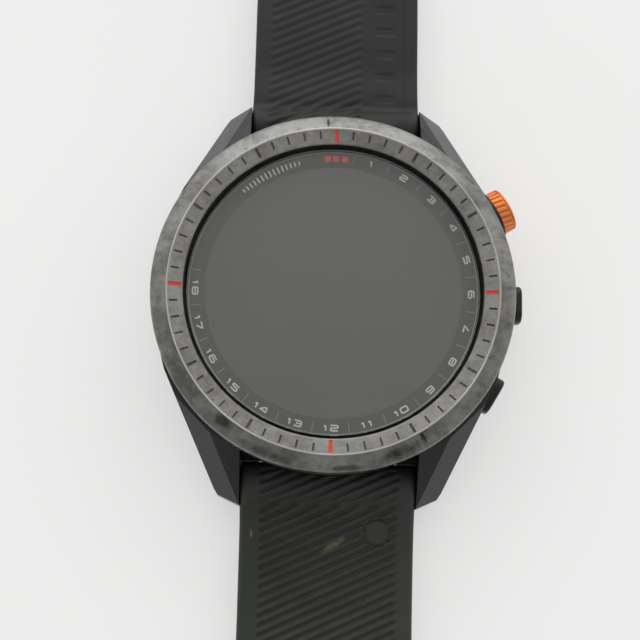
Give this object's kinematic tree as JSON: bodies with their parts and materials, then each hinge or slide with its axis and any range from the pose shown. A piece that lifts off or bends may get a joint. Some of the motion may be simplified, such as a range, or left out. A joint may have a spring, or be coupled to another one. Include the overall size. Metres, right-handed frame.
{
  "type": "golf gps watch",
  "caption": "Round golf watch with a ticked bezel, flat glass, side push buttons, faceted lugs and an open silicone band with quick-release ends and a pin buckle.",
  "frame": {"origin": "middle of the flat underside of the sensor window, the face that lies on the wrist", "axes": "+Z out of the dial, +Y to 12 o'clock along the band, +X to 3 o'clock"},
  "size_m": [0.0486, 0.2528, 0.0148],
  "materials": {
    "case_polymer": "fibre-filled polymer, satin",
    "bezel_metal": "dark grey metal ring, fine satin, worn on the crest",
    "cover_glass": "clear flat glass with a printed ring",
    "display_face": "display switched off, smooth grey",
    "silicone": "matt moulded silicone",
    "seal_rubber": "black sealing rubber",
    "orange_anodised": "orange anodised, knurled",
    "black_metal": "black coated metal, satin",
    "black_polymer": "black moulded plastic",
    "steel": "plain steel",
    "dark_steel": "dark coated steel, satin",
    "gold_contact": "gold-plated contact",
    "board_green": "green circuit board",
    "battery_foil": "battery pouch foil",
    "amber_film": "amber flexible circuit film",
    "sensor_glass": "smoked polished window"
  },
  "bodies": {
    "case": {"mid_case": "case_polymer", "bezel": "bezel_metal", "bezel_gasket": "seal_rubber", "lens_gasket": "seal_rubber", "lens": "cover_glass", "display_panel": "display_face", "display_frame": "black_polymer", "display_flex": "amber_film", "main_board": "board_green", "shield_can": "steel", "battery": "battery_foil", "vibration_motor": "steel", "gps_antenna": "gold_contact", "sensor_board": "board_green", "crown_switch": "steel", "middle_switch": "steel", "lower_switch": "steel", "crown_bushing": "dark_steel", "middle_bushing": "dark_steel", "lower_bushing": "dark_steel", "crown_seal": "seal_rubber", "middle_seal": "seal_rubber", "lower_seal": "seal_rubber", "back_cover": "case_polymer", "back_gasket": "seal_rubber", "sensor_window": "sensor_glass", "port_insert": "black_polymer", "upper_lug_bar": "steel", "lower_lug_bar": "steel", "back_screw_1": "dark_steel", "port_pin_1": "gold_contact", "back_screw_2": "dark_steel", "port_pin_2": "gold_contact", "back_screw_3": "dark_steel", "port_pin_3": "gold_contact", "back_screw_4": "dark_steel", "port_pin_4": "gold_contact"},
    "crown": {"crown_cap": "orange_anodised", "crown_stem": "steel"},
    "middle_button": {"middle_button": "black_metal"},
    "lower_button": {"lower_button": "black_metal"},
    "upper_band": {"upper_strap": "silicone", "upper_latch_housing": "dark_steel", "fixed_keeper": "silicone"},
    "upper_latch": {"upper_latch": "dark_steel"},
    "lower_band": {"lower_strap": "silicone", "lower_latch_housing": "dark_steel"},
    "lower_latch": {"lower_latch": "dark_steel"},
    "sliding_keeper": {"sliding_keeper": "silicone"},
    "buckle": {"buckle_frame": "dark_steel", "buckle_bar": "steel"},
    "tongue": {"buckle_tongue": "dark_steel"}
  },
  "joints": [
    {"name": "crown_press", "type": "slide", "parent": "case", "child": "crown", "axis": [-0.866, -0.5, 0], "range_m": [0, 0.0005], "stiffness_N_per_m": 600},
    {"name": "middle_press", "type": "slide", "parent": "case", "child": "middle_button", "axis": [-1, 0, 0], "range_m": [0, 0.0005], "stiffness_N_per_m": 600},
    {"name": "lower_press", "type": "slide", "parent": "case", "child": "lower_button", "axis": [-0.866, 0.5, 0], "range_m": [0, 0.0005], "stiffness_N_per_m": 600},
    {"name": "upper_band_swing", "type": "hinge", "parent": "case", "child": "upper_band", "pos_m": [0, 0.0244, 0.0043], "axis": [1, 0, 0], "range_deg": [-80, 50]},
    {"name": "lower_band_swing", "type": "hinge", "parent": "case", "child": "lower_band", "pos_m": [0, -0.0244, 0.0043], "axis": [-1, 0, 0], "range_deg": [-80, 50]},
    {"name": "upper_latch_slide", "type": "slide", "parent": "upper_band", "child": "upper_latch", "axis": [0, 1, 0], "range_m": [0, 0.0029], "stiffness_N_per_m": 300},
    {"name": "lower_latch_slide", "type": "slide", "parent": "lower_band", "child": "lower_latch", "axis": [0, -1, 0], "range_m": [0, 0.0029], "stiffness_N_per_m": 300},
    {"name": "keeper_slide", "type": "slide", "parent": "upper_band", "child": "sliding_keeper", "axis": [0, 1, 0], "range_m": [-0.014, 0.0045]},
    {"name": "buckle_swing", "type": "hinge", "parent": "upper_band", "child": "buckle", "pos_m": [0, 0.094, 0.00275], "axis": [1, 0, 0], "range_deg": [-60, 30]},
    {"name": "tongue_swing", "type": "hinge", "parent": "buckle", "child": "tongue", "pos_m": [0, 0.094, 0.00275], "axis": [1, 0, 0], "range_deg": [0, 90]}
  ]
}
